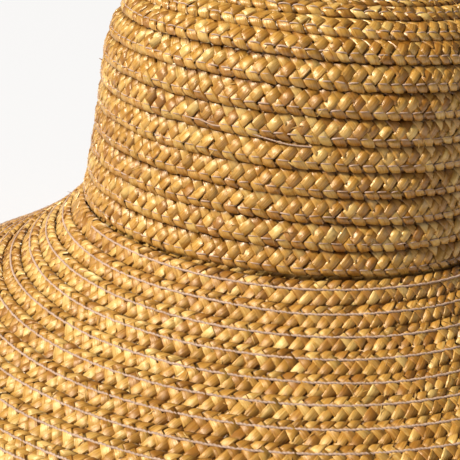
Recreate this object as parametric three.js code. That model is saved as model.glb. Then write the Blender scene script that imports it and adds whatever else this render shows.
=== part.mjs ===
import * as THREE from 'three';

// Rows of plait, mm
const CROWN_ROW = 10.1;
const SIDE_ROWS = 7;
const CROWN_ROWS = 16;
const BRIM_ROW = 9.43;
const BRIM_ROWS = 11;
const BRIM_START = 2.45;

// Outline of the hat, mm and radians
const JOIN_RADIUS = 95;
const SIDE_LEAN = 0.156;
const SIDE_STRAIGHTENING = 0.00164;
const SHOULDER_START = 55.3;
const SHOULDER_LENGTH = 70.6;
const BRIM_FLARE = 0.547;
const BRIM_SLOPE = 0.439;
const FLARE_LENGTH = 32.2;

// Share of a round hat's width left across the oval; its length from brow to nape grows as much
const OVAL_WIDTH = 0.96;

// Heights of the plait's faces over the outline, mm
const LIP = 0.6;
const CREASE = -0.6;
const STEP_LENGTH = 0.6;
const SWELL = 0.2;
const CROWN_SWELL_PLACE = 0.45;
const BRIM_SWELL_PLACE = 0.5;
const HEAD_SIDE = -2.3;
const UNDERSIDE = { shallow: -1.6, deep: -2.4, overlap: 3.2 };

// Collar of each lower piece inside the last row of the piece above it, mm
const COLLAR = { length: 6, outer: -1.45, inner: -3, bendTop: 0.2, bendFoot: -0.8 };
const JOINT_GAP = 0.35;

// Flat rim that the hat rests on, mm
const RIM = { thickness: 1.6, width: 2.4, nose: 0.6, fold: 0.5, foldDrop: -0.2, slant: 5.5 };

const SEGMENTS = 44;
const WALK_STEP = 0.5;

// Angle of the outline at a distance from the join, up the crown or, when negative, out along the brim
function heading(along) {
  if (along < 0) {
    return Math.PI - BRIM_SLOPE - BRIM_FLARE * Math.exp(along / FLARE_LENGTH);
  }
  const lean = SIDE_LEAN - SIDE_STRAIGHTENING * along;
  const bend = THREE.MathUtils.smoothstep(along, SHOULDER_START, SHOULDER_START + SHOULDER_LENGTH);
  return Math.PI / 2 + lean + (Math.PI / 2 - lean) * bend;
}

// Point at a distance along the outline and a height out of it, relative to the join
function walk(along, out) {
  const steps = Math.max(1, Math.ceil(Math.abs(along) / WALK_STEP));
  const stride = along / steps;
  const point = new THREE.Vector2(JOIN_RADIUS, 0);
  for (let i = 0; i < steps; i++) {
    const angle = heading((i + 0.5) * stride);
    point.x += stride * Math.cos(angle);
    point.y += stride * Math.sin(angle);
  }
  const normal = heading(along) - Math.PI / 2;
  point.x += out * Math.cos(normal);
  point.y += out * Math.sin(normal);
  return point;
}

const BRIM_END = -(BRIM_START + BRIM_ROWS * BRIM_ROW);
const FLOOR = walk(BRIM_END, 0).y - RIM.thickness;

function onHat(along, out) {
  const point = walk(along, out);
  point.y -= FLOOR;
  return point;
}

// Distance along the outline at which the crown's tip reaches the axis
function tipDistance() {
  const along = SHOULDER_START + SHOULDER_LENGTH;
  return along + walk(along, 0).x;
}

function onAxis(out) {
  return new THREE.Vector2(0, onHat(tipDistance(), out).y);
}

function turned(name, outline, colour) {
  const geometry = new THREE.LatheGeometry(outline, SEGMENTS);
  geometry.rotateX(Math.PI / 2);
  geometry.scale(OVAL_WIDTH, 1 / OVAL_WIDTH, 1);
  const material = new THREE.MeshStandardMaterial({ color: colour, roughness: 0.45, metalness: 0 });
  const mesh = new THREE.Mesh(geometry, material);
  mesh.name = name;
  return mesh;
}

// Each crown row comes out from under the row above and swells to a proud lower lip
function crownOuter(lowRow, highRow) {
  const points = [];
  for (let row = highRow - 1; row >= lowRow; row--) {
    const edge = row * CROWN_ROW;
    if (row < CROWN_ROWS - 1) {
      points.push(onHat(edge + CROWN_ROW - STEP_LENGTH / 2, CREASE));
    }
    points.push(onHat(edge + CROWN_SWELL_PLACE * CROWN_ROW, SWELL));
    points.push(onHat(edge + STEP_LENGTH / 2, LIP));
  }
  return points;
}

// Inside of a crown piece, with room at its foot for the collar of the piece below
function crownInner(lowRow, highRow) {
  const relief = COLLAR.outer + JOINT_GAP;
  const foot = lowRow * CROWN_ROW;
  const roomEnd = foot + COLLAR.length + JOINT_GAP;
  const points = [onHat(foot + STEP_LENGTH, relief), onHat(roomEnd, relief), onHat(roomEnd, HEAD_SIDE)];
  for (let row = lowRow + 1; row < highRow; row++) {
    points.push(onHat(row * CROWN_ROW + UNDERSIDE.overlap, HEAD_SIDE));
  }
  return points;
}

function crownTip() {
  const outer = [onAxis(CREASE), ...crownOuter(SIDE_ROWS, CROWN_ROWS)];
  const inner = [...crownInner(SIDE_ROWS, CROWN_ROWS), onAxis(HEAD_SIDE)];
  return turned('crown_tip', [...outer, ...inner].reverse(), 0xcb9a44);
}

function crownSide() {
  const top = SIDE_ROWS * CROWN_ROW;
  const collar = [
    onHat(top + COLLAR.bendFoot, COLLAR.inner),
    onHat(top + COLLAR.length, COLLAR.inner),
    onHat(top + COLLAR.length, COLLAR.outer),
    onHat(top + COLLAR.bendTop, COLLAR.outer),
  ];
  const outline = [...crownOuter(0, SIDE_ROWS), ...crownInner(0, SIDE_ROWS), ...collar];
  return turned('crown_side', [...outline, outline[0]].reverse(), 0xc8963f);
}

// Each brim row lies on its inner neighbour, so it starts at a raised edge and falls to the next row's foot
function brim() {
  const top = [
    onHat(COLLAR.length, COLLAR.outer),
    onHat(COLLAR.bendTop, COLLAR.outer),
    onHat(COLLAR.bendFoot, CREASE),
  ];
  const under = [];
  for (let row = 0; row < BRIM_ROWS; row++) {
    const edge = -(BRIM_START + row * BRIM_ROW);
    top.push(onHat(edge + STEP_LENGTH / 2, CREASE));
    top.push(onHat(edge - STEP_LENGTH / 2, LIP));
    top.push(onHat(edge - BRIM_SWELL_PLACE * BRIM_ROW, SWELL));
    under.unshift(onHat(edge - UNDERSIDE.overlap, UNDERSIDE.deep));
    if (row < BRIM_ROWS - 1) {
      under.unshift(onHat(edge - UNDERSIDE.overlap - STEP_LENGTH, UNDERSIDE.shallow));
    }
  }
  const edge = onHat(BRIM_END, 0);
  const rim = [
    onHat(BRIM_END + RIM.fold, RIM.foldDrop),
    onHat(BRIM_END, -RIM.nose),
    new THREE.Vector2(edge.x - RIM.nose, 0),
    new THREE.Vector2(edge.x - RIM.nose - RIM.width, 0),
    onHat(BRIM_END + RIM.slant, UNDERSIDE.shallow),
  ];
  const collar = [onHat(COLLAR.bendFoot, COLLAR.inner), onHat(COLLAR.length, COLLAR.inner)];
  const outline = [...top, ...rim, ...under, ...collar];
  return turned('brim', [...outline, outline[0]].reverse(), 0xc08d3a);
}

const hat = new THREE.Group();
hat.add(crownTip(), crownSide(), brim());

export default hat;
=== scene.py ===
import math

import bpy
import numpy as np
from mathutils import Matrix, Vector


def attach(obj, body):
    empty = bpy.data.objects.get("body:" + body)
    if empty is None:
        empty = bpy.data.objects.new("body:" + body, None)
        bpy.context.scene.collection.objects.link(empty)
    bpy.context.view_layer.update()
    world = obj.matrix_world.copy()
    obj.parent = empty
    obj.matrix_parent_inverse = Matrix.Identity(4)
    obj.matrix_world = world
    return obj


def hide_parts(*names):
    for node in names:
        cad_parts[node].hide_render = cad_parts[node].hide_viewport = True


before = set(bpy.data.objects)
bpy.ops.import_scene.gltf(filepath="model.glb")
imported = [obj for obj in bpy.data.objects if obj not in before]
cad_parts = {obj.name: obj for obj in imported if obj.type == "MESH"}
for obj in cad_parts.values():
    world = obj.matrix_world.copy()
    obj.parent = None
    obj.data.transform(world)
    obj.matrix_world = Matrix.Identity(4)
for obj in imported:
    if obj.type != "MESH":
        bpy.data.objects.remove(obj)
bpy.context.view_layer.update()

mm = 0.001

# the hat's outline, the same sizes as the solids have; lengths in mm, angles in radians
outline = {
    "joinRadius": 95.0,
    "ovalWidth": 0.96,
    "sideLean": 0.156,
    "sideStraightening": 0.00164,
    "shoulderStart": 55.3,
    "shoulderLength": 70.6,
    "brimFlare": 0.547,
    "brimSlope": 0.439,
    "flareLength": 32.2,
    "brimEnd": -106.18,
    "rimThickness": 1.6,
    "walkFrom": -145.0,
    "walkTo": 200.0,
    "walkStep": 0.25,
    "leastRadius": 0.25,
    "leastHeight": 0.1,
}

# how the rows of plait lie on the outline, in mm and turns; turn 0 is the photo's side of the crown's
# last row
rows = {
    "crownRow": 10.1,
    "brimRow": 9.43,
    "brimStart": 2.45,
    "brimStartTurn": 2,
    "rimSharpness": 1.5,
    "firstTurn": -16.1,
    "lastTurn": 12.5,
    "crownEnds": 0.5,
    "tuckFrom": 0.3,
    "tuckTo": 0.75,
    "tuckDepth": 1.5,
    "swapGap": 2.1,
    "swapReach": 0.22,
    "wobble": 0.42,
    "wobbleLength": 38.0,
    "billow": 0.12,
    "billowLength": 25.0,
    "leastGather": 1.5,
    "tableSteps": 9000,
    "facing": 0.6254,
}

# the flat plait itself, five straws wide, in mm; lines are the shares of its width at which the
# straws cross, from the lower edge to the upper
plait = {
    "ends": 5,
    "width": 15.1,
    "repeat": 26.3,
    "lines": np.array([0.0, 0.235, 0.455, 0.68, 0.85, 1.0]),
    "strawFill": 0.965,
    "lift": 0.38,
    "strawTop": 0.46,
    "strawBottom": -0.13,
    "foldBulge": 0.2,
    "gatherLine": 5.0,
    "crowding": 0.6,
    "crowdingLength": 17.0,
}
strawSpacing = plait["repeat"] / plait["ends"]

# how the plait bends from its proud edge inwards: distance in mm, angle to the outline in degrees, and
# the height in mm at which it starts
crownBend = {
    "distance": np.array([0.0, 0.8, 1.6, 2.3, 3.1, 3.8, 4.5, 5.6, 6.7, 8.4, 11.7, 13.4, 15.6]),
    "angle": np.array([100.0, 78, 42, 8, -20, -14, 14, 12, -8, -28, -34, -14, -5]),
    "start": -0.6,
}
brimBend = {
    "distance": np.array([0.0, 1.0, 2.0, 3.3, 4.2, 5.1, 6.2, 7.8, 10.6, 12.3, 15.6]),
    "angle": np.array([60.0, 30, 2, -12, -8, 4, -6, -28, -29, -12, -4]),
    "start": 0.15,
}
bendStep = 0.05

# where each row of random numbers starts
seeds = {
    "wobble": 5,
    "billow": 6,
    "crowding": 12,
    "threadSway": 9,
    "plait": 40,
    "strawTones": 77,
    "stitches": 31,
}


def smooth(t):  # eased step from 0 to 1: three squares less two cubes
    t = np.clip(t, 0.0, 1.0)
    return t * t * (3.0 - 2.0 * t)


def bump(t, half):  # rounded bump of height 1: a squared cosine, 0 beyond half
    return np.where(np.abs(t) < half, np.cos(np.clip(t / half, -1, 1) * math.pi / 2) ** 2, 0.0)


def heading(along):
    # angle of the outline: upright plus a lean on the crown, easing flat over the shoulder;
    # on the brim, half a turn less the slope and less a flare that dies away outward
    lean = outline["sideLean"] - outline["sideStraightening"] * along
    bend = smooth((along - outline["shoulderStart"]) / outline["shoulderLength"])
    crown = math.pi / 2 + lean + (math.pi / 2 - lean) * bend
    flare = outline["brimFlare"] * np.exp(np.minimum(along, 0.0) / outline["flareLength"])
    brim = math.pi - outline["brimSlope"] - flare
    return np.where(along < 0, brim, crown)


def walkOutline():
    # sums the outline's small steps, the cosine across and the sine up, and sets the join at its radius
    step = outline["walkStep"]
    along = np.arange(outline["walkFrom"], outline["walkTo"] + step, step)
    middle = heading(along[:-1] + step / 2)
    radius = np.concatenate([[0.0], np.cumsum(np.cos(middle) * step)])
    height = np.concatenate([[0.0], np.cumsum(np.sin(middle) * step)])
    radius += outline["joinRadius"] - np.interp(0.0, along, radius)
    height -= np.interp(0.0, along, height)
    return along, radius, height


walkAlong, walkRadius, walkHeight = walkOutline()
floorHeight = np.interp(outline["brimEnd"], walkAlong, walkHeight) - outline["rimThickness"]

# the photo's camera: the frame in pixels, sizes in mm and radians, clipping in metres
photoCamera = {
    "framePixels": 460,
    "focalPixels": 1047.49,
    "sensorWidth": 36.0,
    "distance": 464.85,
    "aboveJoin": 148.23,
    "yaw": -0.0604,
    "pitch": 0.347,
    "roll": -0.0889,
    "clipStart": 0.01,
    "clipEnd": 200.0,
}


def addCamera():
    # stands straight out from the hat's axis on the photo's side, turned by yaw, then pitch, then roll
    yaw = photoCamera["yaw"] - rows["facing"]
    pitch = photoCamera["pitch"]
    roll = photoCamera["roll"]
    forward = Vector((math.sin(yaw) * math.cos(pitch), math.cos(yaw) * math.cos(pitch), -math.sin(pitch)))
    right = Vector((math.cos(yaw), -math.sin(yaw), 0.0))
    down = forward.cross(right)
    across = right * math.cos(roll) + down * math.sin(roll)
    up = right * math.sin(roll) - down * math.cos(roll)
    turn = Matrix((across, up, -forward)).transposed().to_4x4()
    place = Vector((photoCamera["distance"] * math.sin(rows["facing"]),
                    -photoCamera["distance"] * math.cos(rows["facing"]),
                    photoCamera["aboveJoin"] - float(floorHeight))) * mm
    data = bpy.data.cameras.new("photoCamera")
    data.sensor_width = photoCamera["sensorWidth"]
    data.lens = photoCamera["focalPixels"] / photoCamera["framePixels"] * data.sensor_width
    data.clip_start = photoCamera["clipStart"]
    data.clip_end = photoCamera["clipEnd"]
    obj = bpy.data.objects.new("photoCamera", data)
    obj.matrix_world = Matrix.Translation(place) @ turn
    bpy.context.scene.collection.objects.link(obj)
    bpy.context.scene.camera = obj


addCamera()
print("camera placed")


def onHat(along, out, turn):
    # the outline's point at a distance along it, moved out square to it, kept above the floor, then turned
    # about the axis and drawn out to the oval; a whole turn runs from the photo's side round by the right
    normal = heading(along) - math.pi / 2
    radius = np.interp(along, walkAlong, walkRadius) + out * np.cos(normal)
    height = np.interp(along, walkAlong, walkHeight) + out * np.sin(normal) - floorHeight
    radius = np.maximum(radius, outline["leastRadius"])
    height = np.maximum(height, outline["leastHeight"])
    angle = 2 * math.pi * turn - math.pi / 2 + rows["facing"]
    oval = outline["ovalWidth"]
    return np.stack([radius * np.cos(angle) * oval, radius * np.sin(angle) / oval, height], axis=-1) * mm


def bentSection(bend):
    # sums the bend's small steps: distance along the plait, then reach over the outline, height and angle
    distance = np.arange(0.0, plait["width"] + bendStep, bendStep)
    angle = np.radians(np.interp(distance, bend["distance"], bend["angle"]))
    reach = np.concatenate([[0.0], np.cumsum(np.cos(angle[:-1]) * bendStep)])
    height = bend["start"] + np.concatenate([[0.0], np.cumsum(np.sin(angle[:-1]) * bendStep)])
    return {"distance": distance, "reach": reach - reach.min(), "height": height, "angle": angle}


crownShape = bentSection(crownBend)
brimShape = bentSection(brimBend)


def onSection(shape, distance, rise):
    # reach and height at a distance over the bent section, plus the rise, which stands square on it
    tilt = np.interp(distance, shape["distance"], shape["angle"])
    reach = np.interp(distance, shape["distance"], shape["reach"]) - rise * np.sin(tilt)
    height = np.interp(distance, shape["distance"], shape["height"]) + rise * np.cos(tilt)
    return reach, height


def proudEdge(turn):
    # the proud edge's place: on the crown the lower edge drops one row a turn; on the brim the inner edge
    # goes out one row a turn until the rim softly stops it; near the swap the rows draw apart
    crown = -rows["crownRow"] * turn
    brim = -(rows["brimStart"] + rows["brimRow"] * (turn - rows["brimStartTurn"]))
    last = outline["brimEnd"] + brimShape["reach"][-1]
    brim = last + np.logaddexp(0.0, (brim - last) * rows["rimSharpness"]) / rows["rimSharpness"]
    swap = (rows["tuckFrom"] + rows["tuckTo"]) / 2
    apart = bump(turn - swap, rows["swapReach"]) - bump(turn - swap - 1, rows["swapReach"])
    apart = rows["swapGap"] * apart
    return crown + apart, brim + apart


def brimShare(turn):  # 0 on the crown, 1 on the brim, eased between the two turns of the tuck
    return smooth((turn - rows["tuckFrom"]) / (rows["tuckTo"] - rows["tuckFrom"]))


def sinking(turn):
    # the row at the swap lies under both its neighbours, so it sinks in and comes out a turn later
    return rows["tuckDepth"] * (brimShare(turn) - brimShare(turn - 1))


def measureTurns():
    # length of plait used up at each turn: the sum of circles at the gathering line times the turn's steps
    turn = np.linspace(rows["firstTurn"], rows["lastTurn"], rows["tableSteps"])
    crownEdge, brimEdge = proudEdge(turn)
    along = (crownEdge + plait["gatherLine"]) * (1 - brimShare(turn))
    along += (brimEdge - plait["gatherLine"]) * brimShare(turn)
    radius = np.maximum(np.interp(along, walkAlong, walkRadius), rows["leastGather"])
    steps = 2 * math.pi * radius * np.gradient(turn)
    return turn, np.cumsum(steps) - steps[0]


turnTable, lengthTable = measureTurns()


def turnAt(length):  # turn at a length of plait, read between the table's entries
    return np.interp(length, lengthTable, turnTable)


def lengthAt(turn):  # length of plait at a turn, read the same way
    return np.interp(turn, turnTable, lengthTable)


# spread of the random knots, and the knots beyond the plait's end
waver = {"knotSpread": 0.6, "spareKnots": 4}


def wander(length, scale, seed):
    # slow waver along the plait, about 1 high: straight lines between random knots that are scale apart
    count = int(lengthTable[-1] / scale) + waver["spareKnots"]
    knots = np.random.default_rng(seed).normal(0.0, waver["knotSpread"], count)
    return np.interp(length / scale, np.arange(len(knots)), knots)


def onPlait(length, across, rise):
    # plait coordinates to the hat: length gives the turn, across runs from the lower to the upper edge,
    # and rise stands square on the bent section, measured from whichever edge is proud there
    turn = turnAt(length)
    crownEdge, brimEdge = proudEdge(turn)
    crownReach, crownOut = onSection(crownShape, across, rise)
    brimReach, brimOut = onSection(brimShape, plait["width"] - across, rise)
    share = brimShare(turn)
    along = (crownEdge + crownReach) * (1 - share) + (brimEdge - brimReach) * share
    along = along + rows["wobble"] * wander(length, rows["wobbleLength"], seeds["wobble"])
    out = crownOut * (1 - share) + brimOut * share - sinking(turn)
    out = out + rows["billow"] * wander(length, rows["billowLength"], seeds["billow"])
    return onHat(along, out, turn)


def newMesh(name, points, quads, node, look, uv=None, tone=None, smoothFaces=True):
    # one mesh object at the origin from whole arrays of points and four-sided faces; tone holds a straw's
    # tone, its patch, its lean and the painted crease shadow, of which 0.5 is the middle of the first three
    points = points.reshape(-1, 3)
    mesh = bpy.data.meshes.new(name)
    mesh.vertices.add(len(points))
    mesh.vertices.foreach_set("co", points.astype(np.float32).ravel())
    mesh.loops.add(quads.size)
    mesh.loops.foreach_set("vertex_index", quads.astype(np.int32).ravel())
    mesh.polygons.add(len(quads))
    mesh.polygons.foreach_set("loop_start", np.arange(0, quads.size, 4, dtype=np.int32))
    mesh.polygons.foreach_set("use_smooth", np.broadcast_to(smoothFaces, len(quads)).copy())
    if uv is not None:
        layer = mesh.uv_layers.new(name="strawMap")
        layer.data.foreach_set("uv", uv.reshape(-1, 2).astype(np.float32)[quads.ravel()].ravel())
    if tone is not None:
        colour = mesh.color_attributes.new("strawTone", "FLOAT_COLOR", "POINT")
        colour.data.foreach_set("color", tone.astype(np.float32).ravel())
    mesh.update(calc_edges=True)
    mesh.validate()
    mesh.materials.append(look)
    obj = bpy.data.objects.new(name, mesh)
    bpy.context.scene.collection.objects.link(obj)
    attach(obj, "root")
    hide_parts(node)
    print("made", name, "triangles", len(quads) * 2)


def tubeFaces(sections, ring, count):
    # faces of count tubes of the same number of sections, rings joined one after another
    section = np.arange(sections - 1)[:, None] * ring
    corner = np.arange(ring)[None, :]
    after = (corner + 1) % ring
    tube = np.stack([section + corner, section + after, section + ring + after, section + ring + corner],
                    axis=-1)
    offsets = np.arange(count)[:, None, None] * sections * ring
    return (tube.reshape(-1, 4)[None] + offsets).reshape(-1, 4)


def sideBySide(shape, *parts):  # arrays spread to one shape and stacked as its last axis
    return np.stack([np.broadcast_to(part, shape) for part in parts], axis=-1)


class Field:
    # wraps one output socket, so that sums of fields add their Math nodes
    def __init__(self, nodes, socket):
        self.nodes = nodes
        self.socket = socket

    def output(self, key):  # another output of the same node
        return Field(self.nodes, self.socket.node.outputs[key])

    def math(self, operation, *values):
        return self.nodes.make("ShaderNodeMath", {"operation": operation}, dict(enumerate(values)))

    def __add__(self, other):
        return self.math("ADD", self, other)

    def __radd__(self, other):
        return self.math("ADD", other, self)

    def __sub__(self, other):
        return self.math("SUBTRACT", self, other)

    def __rsub__(self, other):
        return self.math("SUBTRACT", other, self)

    def __mul__(self, other):
        return self.math("MULTIPLY", self, other)

    def __rmul__(self, other):
        return self.math("MULTIPLY", other, self)

    def __truediv__(self, other):
        return self.math("DIVIDE", self, other)

    def __rtruediv__(self, other):
        return self.math("DIVIDE", other, self)

    def clamped(self):  # held between 0 and 1
        return self.math("MAXIMUM", self.math("MINIMUM", self, 1.0), 0.0)

    def fraction(self):  # what is over the last whole number
        return self.math("FRACT", self)


class Nodes:
    # the node tree of one material
    def __init__(self, name):
        self.material = bpy.data.materials.new(name)
        self.material.use_nodes = True
        self.tree = self.material.node_tree
        self.shader = self.tree.nodes["Principled BSDF"]

    def make(self, kind, settings, values, output=0):
        # a node of a kind: its settings or a ramp's stops first, then its sockets' values or links
        node = self.tree.nodes.new(kind)
        for key, value in settings.items():
            if key == "stops":
                ramp = node.color_ramp
                while len(ramp.elements) < len(value):
                    ramp.elements.new(0.5)
                for element, (place, colour) in zip(ramp.elements, value):
                    element.position = place
                    element.color = colour
            else:
                setattr(node, key, value)
        for key, value in values.items():
            self.join(node.inputs[key], value)
        return Field(self, node.outputs[output])

    def join(self, socket, value):
        if isinstance(value, Field):
            self.tree.links.new(value.socket, socket)
        else:
            socket.default_value = value

    def mix(self, factor, a, b):  # from colour a to colour b, by the node's colour sockets
        return self.make("ShaderNodeMix", {"data_type": "RGBA"}, {0: factor, 6: a, 7: b}, 2)

    def set(self, **values):  # the shader's own sockets, with _ for a space
        for key, value in values.items():
            self.join(self.shader.inputs[key.replace("_", " ")], value)


# layout of the straws' own map: clear margin at a straw's sides, steps from straw to straw, mm to a unit
strawMap = {
    "margin": 0.02,
    "strawStep": 3,
    "unit": 4.0,
}

# the straw: tones along a brightness from 0 to 1, how much each pattern adds to it, masks for stains,
# painted shade at the straws' edges and painted shadow in creases, then roughness, bump and gloss
strawLook = {
    "tones": [
        (0.15, (0.33, 0.125, 0.010, 1)),
        (0.5, (0.55, 0.27, 0.039, 1)),
        (0.88, (0.76, 0.49, 0.14, 1)),
    ],
    "toneShare": 0.9,
    "patchShare": 0.45,
    "fibreShare": 0.9,
    "bandShare": 0.5,
    "cloudShare": 0.25,
    "darker": 1.06,
    "fibres": {"stretch": (7.0, 0.4, 1.0), "noise": {"Scale": 1.6, "Detail": 4.0, "Roughness": 0.62}},
    "bands": {"stretch": (2.2, 0.35, 1.0), "noise": {"Scale": 1.3, "Detail": 2.0, "Roughness": 0.5}},
    "cloud": {"Scale": 22.0, "Detail": 2.0},
    "spots": {"Scale": 420.0, "Detail": 1.0},
    "stain": {"colour": (0.20, 0.07, 0.008, 1), "starts": 0.66, "steepness": 7.0, "share": 0.5},
    "edge": {"colour": (0.17, 0.055, 0.003, 1), "starts": 0.18, "steepness": 14.0, "share": 0.7},
    "shadow": {"colour": (0.09, 0.022, 0.001, 1), "share": 0.9},
    "fibreRoughness": 0.35,
    "bandRoughness": 0.2,
    "tilt": 5.6,
    "pitch": 12.0,
    "pitchMiddle": 0.4,
    "fibreHeight": 0.8,
    "bandHeight": 0.6,
    "fibreBump": 0.26,
    "bumpDistance": 0.001,
    "specular": 1.0,
    "ior": 1.58,
    "gold": 0.06,
    "sheenTint": (1.0, 0.91, 0.7, 1),
}
crownFinish = {"roughness": 0.36, "roundness": 0.6}
brimFinish = {"roughness": 0.45, "roundness": 0.3}


def streaks(nodes, uv, grain):
    # noise drawn out along the straw
    stretched = nodes.make("ShaderNodeMapping", {}, {"Vector": uv, "Scale": grain["stretch"]})
    sockets = {"Vector": stretched} | grain["noise"]
    return nodes.make("ShaderNodeTexNoise", {"noise_dimensions": "2D"}, sockets)


def strawMaterial(name, finish):
    # golden straw: a tone for each straw, long fibre streaks along it, painted shade at its edges and in its
    # creases, waxy gloss; the bump leans each visible part of a straw its own way, by a slope times its lean,
    # and rounds it across
    straw = Nodes(name)
    uv = straw.make("ShaderNodeUVMap", {"uv_map": "strawMap"}, {})
    tones = straw.make("ShaderNodeVertexColor", {"layer_name": "strawTone"}, {})
    creaseShadow = tones.output("Alpha")
    tone = straw.make("ShaderNodeSeparateColor", {}, {0: tones.output("Color")})
    patch = tone.output(1)
    lean = tone.output(2)
    mapped = straw.make("ShaderNodeSeparateXYZ", {}, {0: uv})
    around = mapped.fraction() - 0.5
    passUnit = plait["repeat"] / 2 / strawMap["unit"]
    local = (mapped.output(1) / passUnit).fraction() - strawLook["pitchMiddle"]
    fibres = streaks(straw, uv, strawLook["fibres"])
    bands = streaks(straw, uv, strawLook["bands"])
    place = straw.make("ShaderNodeTexCoord", {}, {}, "Object")
    cloud = straw.make("ShaderNodeTexNoise", {}, {"Vector": place} | strawLook["cloud"])
    spots = straw.make("ShaderNodeTexNoise", {}, {"Vector": place} | strawLook["spots"])

    level = tone * strawLook["toneShare"] + patch * strawLook["patchShare"]
    level = level + fibres * strawLook["fibreShare"] + bands * strawLook["bandShare"]
    level = level + cloud * strawLook["cloudShare"] - strawLook["darker"]
    base = straw.make("ShaderNodeValToRGB", {"stops": strawLook["tones"]}, {0: level.clamped()})
    # painted shade: a straw's sides darken towards the gaps between straws, where shade falls
    edge = strawLook["edge"]
    edgeMask = ((around * around - edge["starts"]) * edge["steepness"]).clamped() * edge["share"]
    base = straw.mix(edgeMask, base, edge["colour"])
    # painted shadow in the creases, under the next row's edge and where a straw runs under a crossing
    base = straw.mix(creaseShadow.clamped() * strawLook["shadow"]["share"], base, strawLook["shadow"]["colour"])
    stain = strawLook["stain"]
    stainMask = ((spots - stain["starts"]) * stain["steepness"]).clamped() * stain["share"]
    base = straw.mix(stainMask, base, stain["colour"])

    rough = finish["roughness"] + (fibres - 0.5) * strawLook["fibreRoughness"]
    rough = rough + (bands - 0.5) * strawLook["bandRoughness"]
    height = around * (lean - 0.5) * strawLook["tilt"] + local * (patch - 0.5) * strawLook["pitch"]
    height = height - around * around * finish["roundness"]
    grain = fibres * strawLook["fibreHeight"] + bands * strawLook["bandHeight"]
    bumped = straw.make("ShaderNodeBump", {}, {"Strength": 1.0, "Distance": strawLook["bumpDistance"],
                                               "Height": height + grain * strawLook["fibreBump"]})
    straw.set(Base_Color=base, Roughness=rough.clamped(), Normal=bumped, IOR=strawLook["ior"],
              Metallic=strawLook["gold"], Specular_IOR_Level=strawLook["specular"],
              Specular_Tint=strawLook["sheenTint"])
    return straw.material


# the cotton thread: two tones, the noises that mix them, roughness and a fine bump
threadLook = {
    "light": (0.62, 0.44, 0.32, 1),
    "dark": (0.33, 0.20, 0.12, 1),
    "strands": {"Scale": 1500.0, "Detail": 2.0},
    "slow": {"Scale": 90.0, "Detail": 1.0},
    "strandShare": 1.1,
    "slowShare": 0.8,
    "darker": 0.45,
    "roughness": 0.75,
    "bump": {"Strength": 0.4, "Distance": 0.0002},
}


def threadMaterial(name):
    # dull cotton: two tones mixed by fine strands and a slower cloud, with a little fuzz
    cotton = Nodes(name)
    place = cotton.make("ShaderNodeTexCoord", {}, {}, "Object")
    strands = cotton.make("ShaderNodeTexNoise", {}, {"Vector": place} | threadLook["strands"])
    slow = cotton.make("ShaderNodeTexNoise", {}, {"Vector": place} | threadLook["slow"])
    share = strands * threadLook["strandShare"] + slow * threadLook["slowShare"] - threadLook["darker"]
    bumped = cotton.make("ShaderNodeBump", {}, {"Height": strands} | threadLook["bump"])
    cotton.set(Base_Color=cotton.mix(share.clamped(), threadLook["dark"], threadLook["light"]),
               Roughness=threadLook["roughness"], Normal=bumped)
    return cotton.material


crownStraw = strawMaterial("crownStraw", crownFinish)
brimStraw = strawMaterial("brimStraw", brimFinish)
cottonThread = threadMaterial("cottonThread")
print("materials made")

# one edge-to-edge pass of a straw, from one fold to the next: place, how far the section slants with the
# crossing straws, its height in lifts, its share of the full width, the cell that it belongs to and its
# share of that cell's pitch
strawPass = {
    "place": np.array([0.0, 0.03, 0.10, 0.20, 0.25, 0.28, 0.39, 0.52, 0.548, 0.69, 0.718, 0.80, 0.87, 0.945]),
    "slant": np.array([0.0, 0.10, 0.45, 0.95, 1.0, 1.0, 1.0, 1.0, 1.0, 1.0, 1.0, 0.7, 0.4, 0.1]),
    "height": np.array([0.0, -0.7, -1.0, -1.0, -0.8, 1.0, 1.3, 1.05, -0.8, -0.8, 0.8, 1.0, 0.9, 0.55]),
    "fill": np.array([0.76, 0.82, 0.93, 1.0, 1.0, 1.0, 1.0, 1.0, 1.0, 1.0, 1.0, 1.0, 0.93, 0.83]),
    "cell": np.array([0, 1, 1, 1, 1, 2, 2, 2, 3, 3, 4, 4, 4, 4]),
    "pitch": np.array([0.0, 0, 0, 0, 0, -1.0, 0, 1.0, 0, 0, -1.0, 0, 0.8, 1.0]),
}
cellCount = 5
drawsPerCell = 6
topCells = [2, 4]

# a straw's section: places across its width, and whether each lies on the top or the bottom; of the four
# faces round it only the broad one is shaded smooth, so that the edges stay crisp
strawSection = {
    "side": np.array([-0.5, -0.4, 0.4, 0.5]),
    "top": np.array([0.0, 1.0, 1.0, 0.0]),
}
broadFace = 1

# random differences from cell to cell: width as a share between its limits, roll, pitch, height and shift
# in mm, fold as a share, then the looks' patch and lean, and the paler patch of a crushed cell
strawSpread = {
    "width": 0.05,
    "narrowest": 0.9,
    "widest": 1.04,
    "roll": 0.34,
    "pitch": 0.16,
    "height": 0.09,
    "shift": 0.3,
    "fold": 0.5,
    "patch": 0.2,
    "lean": 0.2,
    "crushed": 0.5,
    "crushedFrom": 1.9,
}

# tones of the single straws: passes to a straw, how far the next end lags, and the spread about the middle
strawTones = {
    "passes": 9.0,
    "lag": 0.37,
    "middle": 0.5,
    "spread": 0.17,
    "count": 4000,
}

# shade near the plait's own fold and under the next row's edge, in mm over the width, and on parts that
# run under a crossing
creases = {
    "fold": 0.2,
    "foldFade": 1.0,
    "crownLap": 9.3,
    "brimLap": 9.2,
    "lapFade": 1.4,
    "brimDepth": 0.85,
    "under": 0.85,
    "underBelow": -0.5,
}


def creaseShade(length, across):
    # 1 where the plait tucks under its own proud edge or the next row's, 0 on the open face
    share = brimShare(turnAt(length))
    inner = plait["width"] - across
    crown = 1 - smooth((across - creases["fold"]) / creases["foldFade"])
    crown = crown + smooth((across - creases["crownLap"]) / creases["lapFade"])
    brim = 1 - smooth((inner - creases["fold"]) / creases["foldFade"])
    brim = brim + smooth((inner - creases["brimLap"]) / creases["lapFade"])
    return crown * (1 - share) + creases["brimDepth"] * brim * share


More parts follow.
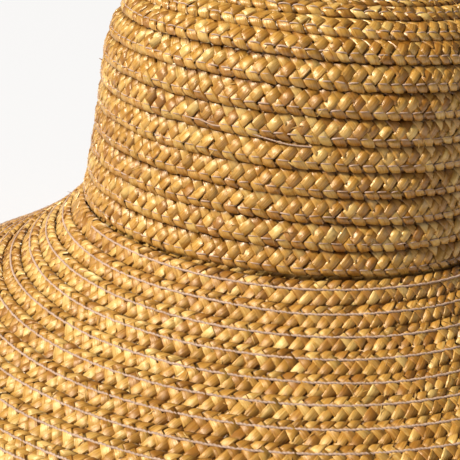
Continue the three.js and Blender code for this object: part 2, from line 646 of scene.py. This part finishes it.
def plaitPiece(name, start, until, node, look, seed):
    # five straws, each a zigzag from edge to edge through the crossing lines; a section slants with the
    # straws that cross it, and the straw lifts over one crossing and dips under the next
    half = plait["repeat"] / 2
    passes = np.arange(math.floor(lengthAt(start) / half), math.ceil(lengthAt(until) / half))
    ends = np.arange(plait["ends"])
    passAt = passes[None, :, None, None]
    endAt = ends[:, None, None, None]
    side = strawSection["side"]
    sections = {key: values[None, None, :, None] for key, values in strawPass.items()}
    shape = (len(ends), len(passes), len(strawPass["place"]), len(side))

    drawn = (len(ends), len(passes), cellCount, drawsPerCell)
    draws = np.random.default_rng(seed).normal(0.0, 1.0, drawn)
    cell = draws[:, :, strawPass["cell"], :, None]
    width, roll, pitch, patch, fold, height = np.moveaxis(cell, 3, 0)
    onTop = np.isin(sections["cell"], topCells)

    fill = plait["strawFill"] + strawSpread["width"] * width
    fill = np.clip(fill, strawSpread["narrowest"], strawSpread["widest"]) * sections["fill"]
    offset = side * fill * strawSpacing
    progress = sections["place"] - sections["slant"] * offset / plait["repeat"]
    length = endAt * strawSpacing + (passAt + progress) * half + offset
    length = np.broadcast_to(length + strawSpread["shift"] * width * onTop, shape)
    length = length + plait["crowding"] * wander(length, plait["crowdingLength"], seeds["crowding"])
    length = np.clip(length, 0, lengthTable[-1])

    goingUp = passAt % 2 == 0
    risen = np.where(goingUp, progress, 1 - progress)
    across = np.interp(risen, np.linspace(0, 1, len(plait["lines"])), plait["lines"]) * plait["width"]
    across = across + (np.minimum(risen, 0) + np.maximum(risen - 1, 0)) * plait["width"]
    foldOut = (sections["place"] == 0) * plait["foldBulge"] * (1 + strawSpread["fold"] * fold)
    across = np.broadcast_to(across + np.where(goingUp, -foldOut, foldOut), shape)

    thickness = plait["strawTop"] - plait["strawBottom"]
    rise = sections["height"] * plait["lift"] + plait["strawBottom"] + thickness * strawSection["top"]
    rise = rise + strawSpread["roll"] * roll * side * onTop
    rise = rise + strawSpread["pitch"] * pitch * sections["pitch"]
    rise = np.broadcast_to(rise + strawSpread["height"] * height * onTop, shape)

    straw = np.floor(passes / strawTones["passes"] + ends[:, None] * strawTones["lag"]).astype(int)
    tones = np.random.default_rng(seeds["strawTones"])
    tones = tones.normal(strawTones["middle"], strawTones["spread"], strawTones["count"])
    tone = tones[(straw * plait["ends"] + ends[:, None]) % strawTones["count"]][:, :, None, None]
    paleness = 0.5 + strawSpread["patch"] * patch
    paleness = paleness + strawSpread["crushed"] * (height > strawSpread["crushedFrom"])
    lean = 0.5 + strawSpread["lean"] * roll
    # painted shadow for the creases, the tucks and the parts of a straw that run under a crossing
    under = creases["under"] * (sections["height"] < creases["underBelow"])
    creaseShadow = np.maximum(creaseShade(length, across), under)

    around = strawMap["margin"] + (1 - 2 * strawMap["margin"]) * (side + 0.5) + endAt * strawMap["strawStep"]
    travelled = (passAt + progress) * half / strawMap["unit"]
    quads = tubeFaces(shape[1] * shape[2], len(side), len(ends))
    smoothTop = np.arange(len(quads)) % len(side) == broadFace
    newMesh(name, onPlait(length, across, rise), quads, node, look, sideBySide(shape, around, travelled),
            sideBySide(shape, tone, paleness, lean, creaseShadow), smoothTop)


# the plait in six pieces, each from where the last one ended until its own turn
plaitPieces = {
    "crown_plait_tip": {"until": -7.0, "node": "crown_tip", "look": crownStraw},
    "crown_plait_side": {"until": rows["crownEnds"], "node": "crown_side", "look": crownStraw},
    "brim_plait_inner": {"until": 4.5, "node": "brim", "look": brimStraw},
    "brim_plait_middle": {"until": 7.5, "node": "brim", "look": brimStraw},
    "brim_plait_outer": {"until": 10.0, "node": "brim", "look": brimStraw},
    "brim_plait_rim": {"until": rows["lastTurn"], "node": "brim", "look": brimStraw},
}
turnReached = rows["firstTurn"]
for number, (pieceName, settings) in enumerate(plaitPieces.items()):
    plaitPiece(pieceName, turnReached, seed=seeds["plait"] + number, **settings)
    turnReached = settings["until"]
print("plait sewn up")

# the plait's gathered start in the middle of the tip: mm, and shares of its radius
tipButton = {
    "radius": 8.8,
    "rings": 8,
    "sectors": 60,
    "hole": 0.01,
    "top": 0.5,
    "fall": 1.8,
    "pleats": 9,
    "pleatDepth": 0.22,
    "pleatSwirl": 0.35,
    "shadeFrom": 0.55,
    "mapLength": 2,
}


def tipButtonPiece():
    # a shallow dome on the axis that falls as the square of the radius, with cosine pleats round it
    share = np.linspace(tipButton["hole"], 1.0, tipButton["rings"])[:, None]
    turn = np.linspace(0, 1, tipButton["sectors"], endpoint=False)[None, :]
    share, turn = np.broadcast_arrays(share, turn)
    swirl = tipButton["pleats"] * turn + tipButton["pleatSwirl"] * share
    pleat = tipButton["pleatDepth"] * share * np.cos(2 * math.pi * swirl)
    out = tipButton["top"] - tipButton["fall"] * share ** 2 + pleat
    tip = float(np.interp(0.0, -walkRadius, walkAlong))
    shade = smooth((share - tipButton["shadeFrom"]) / (1 - tipButton["shadeFrom"]))
    newMesh("crown_tip_button", onHat(tip - share * tipButton["radius"], out, turn),
            tubeFaces(tipButton["rings"], tipButton["sectors"], 1), "crown_tip", crownStraw,
            sideBySide(share.shape, turn * tipButton["pleats"], share * tipButton["mapLength"]),
            sideBySide(share.shape, 0.5, 0.5, 0.5, shade))


tipButtonPiece()

# split fibres of straw that stand off the plait, sizes in mm and radians; places and thickness are shares
# from the held end to the free one
frays = {
    "length": 3.4,
    "lengthSpread": 1.2,
    "shortest": 1.2,
    "longest": 7.0,
    "places": np.array([0.0, 0.3, 0.55, 0.8, 1.0])[None, :],
    "thickness": np.array([0.8, 1.0, 0.9, 0.6, 0.2])[None, :, None],
    "side": np.array([-0.2, 0.0, 0.2, 0.0]),
    "above": np.array([0.0, 0.06, 0.0, -0.06]),
    "lift": 0.75,
    "seat": 0.75,
    "slant": 0.85,
    "slantSpread": 0.35,
    "tones": (0.35, 1.0),
}

# where they stand: from one turn to another, and from the lowest to the highest mm of the plait's width
frayedParts = {
    "crown_side_frays": {"turns": (-6.9, 0.2), "band": (0.6, 9.0), "count": 420, "seed": 112,
                         "node": "crown_side", "look": crownStraw},
    "crown_tip_frays": {"turns": (-13.0, -7.1), "band": (0.6, 9.0), "count": 150, "seed": 105,
                        "node": "crown_tip", "look": crownStraw},
    "brim_frays": {"turns": (2.0, 12.0), "band": (6.2, 14.6), "count": 900, "seed": 70,
                   "node": "brim", "look": brimStraw},
}


def strawFrays(name, turns, band, count, seed, node, look):
    # thin flat strips laid along the straws' slant, curling up as the square of the way to the free end
    dice = np.random.default_rng(seed)
    column = (count, 1)
    places = frays["places"]
    thickness = frays["thickness"]
    size = frays["length"] + frays["lengthSpread"] * dice.normal(0, 1, column)
    size = size.clip(frays["shortest"], frays["longest"])
    way = frays["slant"] + frays["slantSpread"] * dice.normal(0, 1, column)
    way = way * dice.choice([-1, 1], column)
    length = dice.uniform(lengthAt(turns[0]), lengthAt(turns[1]), column) + np.cos(way) * size * places
    across = dice.uniform(*band, column) + np.sin(way) * size * places
    rise = frays["seat"] + frays["lift"] * np.abs(dice.normal(0, 1, column)) * places ** 2
    tone = dice.uniform(*frays["tones"], (count, 1, 1))
    length = length[..., None] - np.sin(way)[..., None] * frays["side"] * thickness
    across = across[..., None] + np.cos(way)[..., None] * frays["side"] * thickness
    rise = rise[..., None] + frays["above"] * thickness
    quads = tubeFaces(length.shape[1], length.shape[2], count)
    newMesh(name, onPlait(length, across, rise), quads, node, look,
            sideBySide(length.shape, 0.5 + frays["side"], length),
            sideBySide(length.shape, tone, 0.5, 0.5, 0.0))


for pieceName, settings in frayedParts.items():
    strawFrays(pieceName, **settings)
print("split fibres laid")

# the crown's sewing thread, in mm: dashes along the rows; places and thickness are shares of a dash
stitches = {
    "startGap": 0.4,
    "fromLip": 3.7,
    "dash": 4.5,
    "halfWidth": 0.42,
    "halfHeight": 0.34,
    "rising": 0.08,
    "sink": 0.9,
    "seat": 1.05,
    "phase": 0.5,
    "places": np.array([-0.5, -0.4, -0.15, 0.15, 0.4, 0.5]),
    "thickness": np.array([0.35, 0.9, 1.0, 1.0, 0.9, 0.35])[None, :, None],
    "sides": 4,
    "sideTurn": 0.3,
}
stitchSpread = {"along": 0.22, "dash": 0.3, "seat": 0.07, "rising": 0.07, "across": 0.1}


def crownStitches():
    # each dash is a flattened bead whose height over the straw is a flat arch, sinking at both ends
    first = math.ceil(lengthAt(rows["firstTurn"] + stitches["startGap"]) / strawSpacing)
    count = int(lengthAt(rows["crownEnds"]) / strawSpacing) - first
    dice = np.random.default_rng(seeds["stitches"])
    spreads = stitchSpread.values()
    along, dash, seat, rising, middle = (dice.normal(0, spread, count)[:, None] for spread in spreads)
    places = stitches["places"]
    length = (first + np.arange(count)[:, None] + stitches["phase"]) * strawSpacing + along
    length = length + places * (stitches["dash"] + dash)
    arch = stitches["seat"] + seat - stitches["sink"] * np.abs(places * 2) ** 4
    middle = stitches["fromLip"] + middle + (stitches["rising"] + rising) * places * stitches["dash"]
    angle = np.linspace(0, 2 * math.pi, stitches["sides"], endpoint=False) + stitches["sideTurn"]
    across = middle[..., None] + stitches["halfWidth"] * stitches["thickness"] * np.cos(angle)
    rise = arch[..., None] + stitches["halfHeight"] * stitches["thickness"] * np.sin(angle)
    across, rise, length = np.broadcast_arrays(across, rise, length[..., None])
    newMesh("crown_stitches", onPlait(length, across, rise), tubeFaces(len(places), len(angle), count),
            "crown_side", cottonThread)


# section of a two-ply thread
plySection = {"sides": 6, "waist": 1.5}


def twoPly(thread, turns):
    # a section with two lobes, reaching a ply plus a power of the cosine, that turns as it goes, so the
    # plies wind round each other
    angle = np.linspace(0, 2 * math.pi, plySection["sides"], endpoint=False)
    reach = thread["ply"] + thread["plyGap"] * np.abs(np.cos(angle)) ** plySection["waist"]
    winding = angle + 2 * math.pi * turns[:, None]
    return np.cos(winding) * reach, np.sin(winding) * reach


# the brim's sewing thread, in mm: an unbroken twisted line round the rows
brimThread = {
    "firstTurn": 1.85,
    "endGap": 0.02,
    "fromEdge": 4.15,
    "ply": 0.4,
    "plyGap": 0.36,
    "twist": 3.2,
    "sample": 0.8,
    "seat": 0.8,
    "sway": 0.12,
    "swayLength": 14.0,
    "stitchSway": 0.1,
    "stitchLift": 0.06,
}


def brimThreadPiece():
    # follows the plait with a slow sway, and a sine over each straw's spacing sideways and up
    stop = lengthAt(rows["lastTurn"] - brimThread["endGap"])
    length = np.arange(lengthAt(brimThread["firstTurn"]), stop, brimThread["sample"])
    across, rise = twoPly(brimThread, length / brimThread["twist"])
    stitch = np.sin(2 * math.pi * length / strawSpacing)
    sway = brimThread["sway"] * wander(length, brimThread["swayLength"], seeds["threadSway"])
    sway = sway + brimThread["stitchSway"] * stitch
    across = plait["width"] - brimThread["fromEdge"] + sway[:, None] + across
    rise = brimThread["seat"] + brimThread["stitchLift"] * stitch[:, None] + rise
    newMesh("brim_thread", onPlait(np.broadcast_to(length[:, None], across.shape), across, rise),
            tubeFaces(len(length), across.shape[1], 1), "brim", cottonThread)


# loose end of thread on the crown: it comes down a lip, passes under it and lies free on the row below;
# places along the outline and heights in mm, turns round the hat
looseThread = {
    "lipTurn": [-0.0743, -0.069, -0.0635, -0.0581, -0.0527, -0.047, -0.0421, -0.0376],
    "lipAlong": [53.97, 53.4, 53.6, 53.01, 52.4, 52.56, 52.61, 51.74],
    "lipOut": [1.3, 1.7, 1.8, 1.8, 1.8, 1.75, 1.6, 0.5],
    "freeTurn": [-0.0357, -0.0319, -0.0268, -0.0185, -0.0097, -0.0011, 0.0068, 0.0114, 0.0153],
    "freeAlong": [51.83, 51.86, 51.57, 50.72, 49.82, 49.02, 48.84, 48.84, 48.78],
    "freeOut": [0.2, 0.9, 1.35, 1.55, 1.6, 1.55, 1.45, 1.35, 1.1],
    "samples": 120,
    "soften": 7,
    "ply": 0.22,
    "plyGap": 0.16,
    "windings": 16,
}


def softened(values):  # evenly read along given places, then smoothed by a moving mean
    soften = looseThread["soften"]
    share = np.linspace(0, 1, looseThread["samples"] + soften - 1)
    read = np.interp(share, np.linspace(0, 1, len(values)), values)
    return np.convolve(read, np.ones(soften) / soften, "valid")[:, None]


def looseThreadPiece():
    # two threads, each through its softened places with the two plies wound about them
    samples = looseThread["samples"]
    sideways, outwards = twoPly(looseThread, looseThread["windings"] * np.linspace(0, 1, samples))
    parts = []
    for part in ("lip", "free"):
        turn, along, out = (softened(looseThread[part + key]) for key in ("Turn", "Along", "Out"))
        parts.append(onHat(along + sideways, out + outwards, np.broadcast_to(turn, sideways.shape)))
    newMesh("thread_loose_end", np.stack(parts), tubeFaces(samples, sideways.shape[1], len(parts)),
            "crown_side", cottonThread)


crownStitches()
brimThreadPiece()
looseThreadPiece()
print("thread sewn in")

# room: pale floor in metres, white surroundings, a soft key light from the upper left in degrees
room = {
    "floorSize": 80.0,
    "floorColour": (0.735, 0.742, 0.76, 1),
    "floorRoughness": 0.9,
    "worldColour": (1.0, 0.93, 0.82, 1),
    "worldStrength": 0.16,
}
keyLight = {
    "azimuth": -60.0,
    "elevation": 42.0,
    "spread": 6.0,
    "strength": 5.4,
    "colour": (1.0, 0.985, 0.96),
}


def addFloor():
    # one square about the origin
    half = room["floorSize"] / 2
    corners = [(-half, -half, 0), (half, -half, 0), (half, half, 0), (-half, half, 0)]
    mesh = bpy.data.meshes.new("floor")
    mesh.from_pydata(corners, [], [(0, 1, 2, 3)])
    floor = bpy.data.objects.new("floor", mesh)
    bpy.context.scene.collection.objects.link(floor)
    pale = Nodes("paleFloor")
    pale.set(Base_Color=room["floorColour"], Roughness=room["floorRoughness"])
    mesh.materials.append(pale.material)


def addLight():
    # even surroundings, and a sun that shines from its azimuth off the photo's side and its elevation
    world = bpy.data.worlds.new("room")
    bpy.context.scene.world = world
    world.use_nodes = True
    background = world.node_tree.nodes["Background"]
    background.inputs["Color"].default_value = room["worldColour"]
    background.inputs["Strength"].default_value = room["worldStrength"]
    data = bpy.data.lights.new("keyLight", "SUN")
    data.energy = keyLight["strength"]
    data.angle = math.radians(keyLight["spread"])
    data.color = keyLight["colour"]
    sun = bpy.data.objects.new("keyLight", data)
    azimuth = math.radians(keyLight["azimuth"]) + rows["facing"]
    elevation = math.radians(keyLight["elevation"])
    towards = Vector((math.sin(azimuth) * math.cos(elevation), -math.cos(azimuth) * math.cos(elevation),
                      math.sin(elevation)))
    sun.rotation_euler = (-towards).to_track_quat("-Z", "Y").to_euler()
    bpy.context.scene.collection.objects.link(sun)


addFloor()
addLight()
bpy.context.scene.view_settings.view_transform = "Standard"
print("room and lamps placed")
